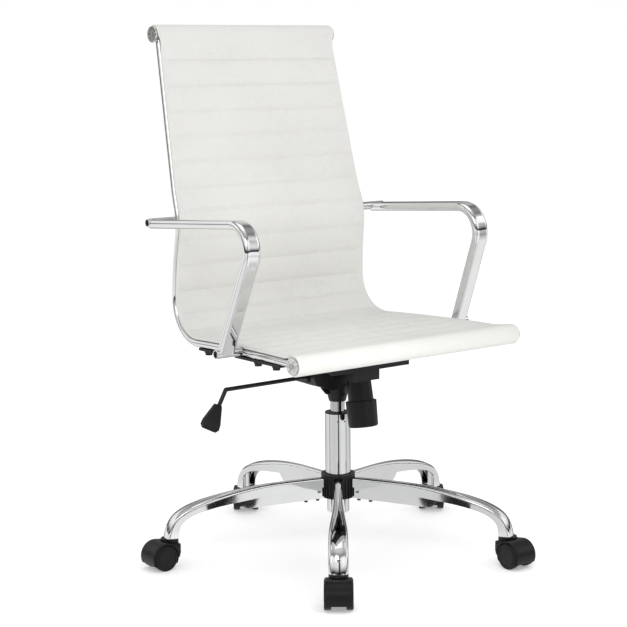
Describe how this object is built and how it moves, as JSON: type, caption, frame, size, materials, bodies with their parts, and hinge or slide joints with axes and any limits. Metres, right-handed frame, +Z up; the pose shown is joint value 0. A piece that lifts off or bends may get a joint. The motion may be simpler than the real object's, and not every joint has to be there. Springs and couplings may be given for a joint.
{
  "type": "swivel office chair",
  "caption": "Swivel office chair with a ribbed leather sling on bent chrome rails, loop arms, tilt mechanism, gas lift and a caster base.",
  "frame": {"origin": "on the floor below the axis of the lift column", "axes": "+Z up along the lift column, -Y the way a sitter faces, +X to the sitter's left"},
  "size_m": [0.7516, 0.7332, 1.035],
  "materials": {
    "chrome_frame": "polished",
    "chrome_caps": "turned and polished",
    "chrome_arms": "polished",
    "chrome_base": "polished",
    "cream_leather": "soft, fine grain, off-white",
    "black_steel": "satin powder coat",
    "black_bolts": "black oxide",
    "black_plastic": "fine moulded texture",
    "caster_plastic": "satin",
    "caster_wheel": "satin",
    "black_rod": "satin",
    "zinc_steel": "zinc plated",
    "bright_steel": "ground",
    "spring_steel": "oiled",
    "bearing_steel": "ground"
  },
  "bodies": {
    "base": {"hub": "black_plastic", "leg_1": "chrome_base", "leg_2": "chrome_base", "leg_3": "chrome_base", "leg_4": "chrome_base", "leg_5": "chrome_base", "leg_screws": "black_bolts", "lift_tube": "chrome_base", "lift_bush": "black_plastic", "retaining_clip": "spring_steel", "thrust_bearing": "bearing_steel", "caster_stems": "zinc_steel"},
    "lift_rod": {"piston_rod": "bright_steel"},
    "column": {"lift_cylinder": "bright_steel", "tilt_housing": "black_steel", "tilt_pivot_pin": "zinc_steel", "spring_barrel": "black_plastic", "tension_spring": "spring_steel"},
    "gas_button": {"release_button": "zinc_steel"},
    "lever": {"lever_rod": "black_rod", "lever_paddle": "black_plastic", "lever_bush": "black_plastic"},
    "tension_rod": {"tension_bolt": "zinc_steel", "spring_seat": "zinc_steel"},
    "tension_adjuster": {"tension_knob": "black_plastic"},
    "seat": {"left_rail": "chrome_frame", "right_rail": "chrome_frame", "front_roll_tube": "chrome_frame", "top_roll_tube": "chrome_frame", "roll_end_caps": "chrome_caps", "cap_screws": "zinc_steel", "upholstery": "cream_leather", "back_stretcher": "chrome_frame", "front_cross_bar": "black_steel", "middle_cross_bar": "black_steel", "rear_cross_bar": "black_steel", "seat_bolts": "black_bolts", "right_arm": "chrome_arms", "left_arm": "chrome_arms", "arm_end_plugs": "black_plastic", "arm_bolts": "zinc_steel", "tilt_top_plate": "black_steel"},
    "caster_1": {"caster_1_hood": "caster_plastic", "caster_1_axle": "zinc_steel"},
    "wheels_1": {"caster_1_wheels": "caster_wheel"},
    "caster_2": {"caster_2_hood": "caster_plastic", "caster_2_axle": "zinc_steel"},
    "wheels_2": {"caster_2_wheels": "caster_wheel"},
    "caster_3": {"caster_3_hood": "caster_plastic", "caster_3_axle": "zinc_steel"},
    "wheels_3": {"caster_3_wheels": "caster_wheel"},
    "caster_4": {"caster_4_hood": "caster_plastic", "caster_4_axle": "zinc_steel"},
    "wheels_4": {"caster_4_wheels": "caster_wheel"},
    "caster_5": {"caster_5_hood": "caster_plastic", "caster_5_axle": "zinc_steel"},
    "wheels_5": {"caster_5_wheels": "caster_wheel"}
  },
  "joints": [
    {"name": "seat_swivel", "type": "hinge", "parent": "base", "child": "lift_rod", "pos_m": [0, 0, 0.1], "axis": [0, 0, 1], "continuous": true},
    {"name": "seat_height", "type": "slide", "parent": "lift_rod", "child": "column", "axis": [0, 0, 1], "range_m": [-0.015, 0.085]},
    {"name": "seat_tilt", "type": "hinge", "parent": "column", "child": "seat", "pos_m": [0, -0.035, 0.378], "axis": [-1, 0, 0], "range_deg": [0, 12], "stiffness_Nm_per_rad": 60, "springref_deg": -51.57},
    {"name": "height_lever", "type": "hinge", "parent": "column", "child": "lever", "pos_m": [-0.073, 0, 0.358], "axis": [0, 1, 0], "range_deg": [0, 2], "stiffness_Nm_per_rad": 6, "springref_deg": -6.88},
    {"name": "button_press", "type": "slide", "parent": "column", "child": "gas_button", "axis": [0, 0, -1], "range_m": [0, 0.003]},
    {"name": "tension_pull", "type": "slide", "parent": "column", "child": "tension_rod", "axis": [0, 0.1478, 0.989], "range_m": [0, 0.0065], "deforming": ["tension_spring"]},
    {"name": "tension_turn", "type": "hinge", "parent": "tension_rod", "child": "tension_adjuster", "pos_m": [0, -0.073, 0.313], "axis": [0, 0.1478, 0.989], "continuous": true},
    {"name": "caster_1_swivel", "type": "hinge", "parent": "base", "child": "caster_1", "pos_m": [-0.21228, -0.26687, 0.05], "axis": [0, 0, 1], "continuous": true},
    {"name": "wheels_1_roll", "type": "hinge", "parent": "caster_1", "child": "wheels_1", "pos_m": [-0.22722, -0.28565, 0.025], "axis": [0.7826, -0.6225, 0], "continuous": true},
    {"name": "caster_2_swivel", "type": "hinge", "parent": "base", "child": "caster_2", "pos_m": [-0.3194, 0.11942, 0.05], "axis": [0, 0, 1], "continuous": true},
    {"name": "wheels_2_roll", "type": "hinge", "parent": "caster_2", "child": "wheels_2", "pos_m": [-0.34341, 0.11942, 0.025], "axis": [0, -1, 0], "continuous": true},
    {"name": "caster_3_swivel", "type": "hinge", "parent": "base", "child": "caster_3", "pos_m": [0.01487, 0.34068, 0.05], "axis": [0, 0, 1], "continuous": true},
    {"name": "wheels_3_roll", "type": "hinge", "parent": "caster_3", "child": "wheels_3", "pos_m": [0.02965, 0.35959, 0.025], "axis": [-0.788, 0.6157, 0], "continuous": true},
    {"name": "caster_4_swivel", "type": "hinge", "parent": "base", "child": "caster_4", "pos_m": [0.3286, 0.09113, 0.05], "axis": [0, 0, 1], "continuous": true},
    {"name": "wheels_4_roll", "type": "hinge", "parent": "caster_4", "child": "wheels_4", "pos_m": [0.34337, 0.11004, 0.025], "axis": [-0.788, 0.6157, 0], "continuous": true},
    {"name": "caster_5_swivel", "type": "hinge", "parent": "base", "child": "caster_5", "pos_m": [0.18821, -0.28436, 0.05], "axis": [0, 0, 1], "continuous": true},
    {"name": "wheels_5_roll", "type": "hinge", "parent": "caster_5", "child": "wheels_5", "pos_m": [0.18821, -0.30835, 0.025], "axis": [1, 0, 0], "continuous": true}
  ],
  "couplings": [
    {"joint": "button_press", "follows": "height_lever", "m_per_rad": 0.073},
    {"joint": "tension_pull", "follows": "seat_tilt", "m_per_rad": 0.0285}
  ]
}
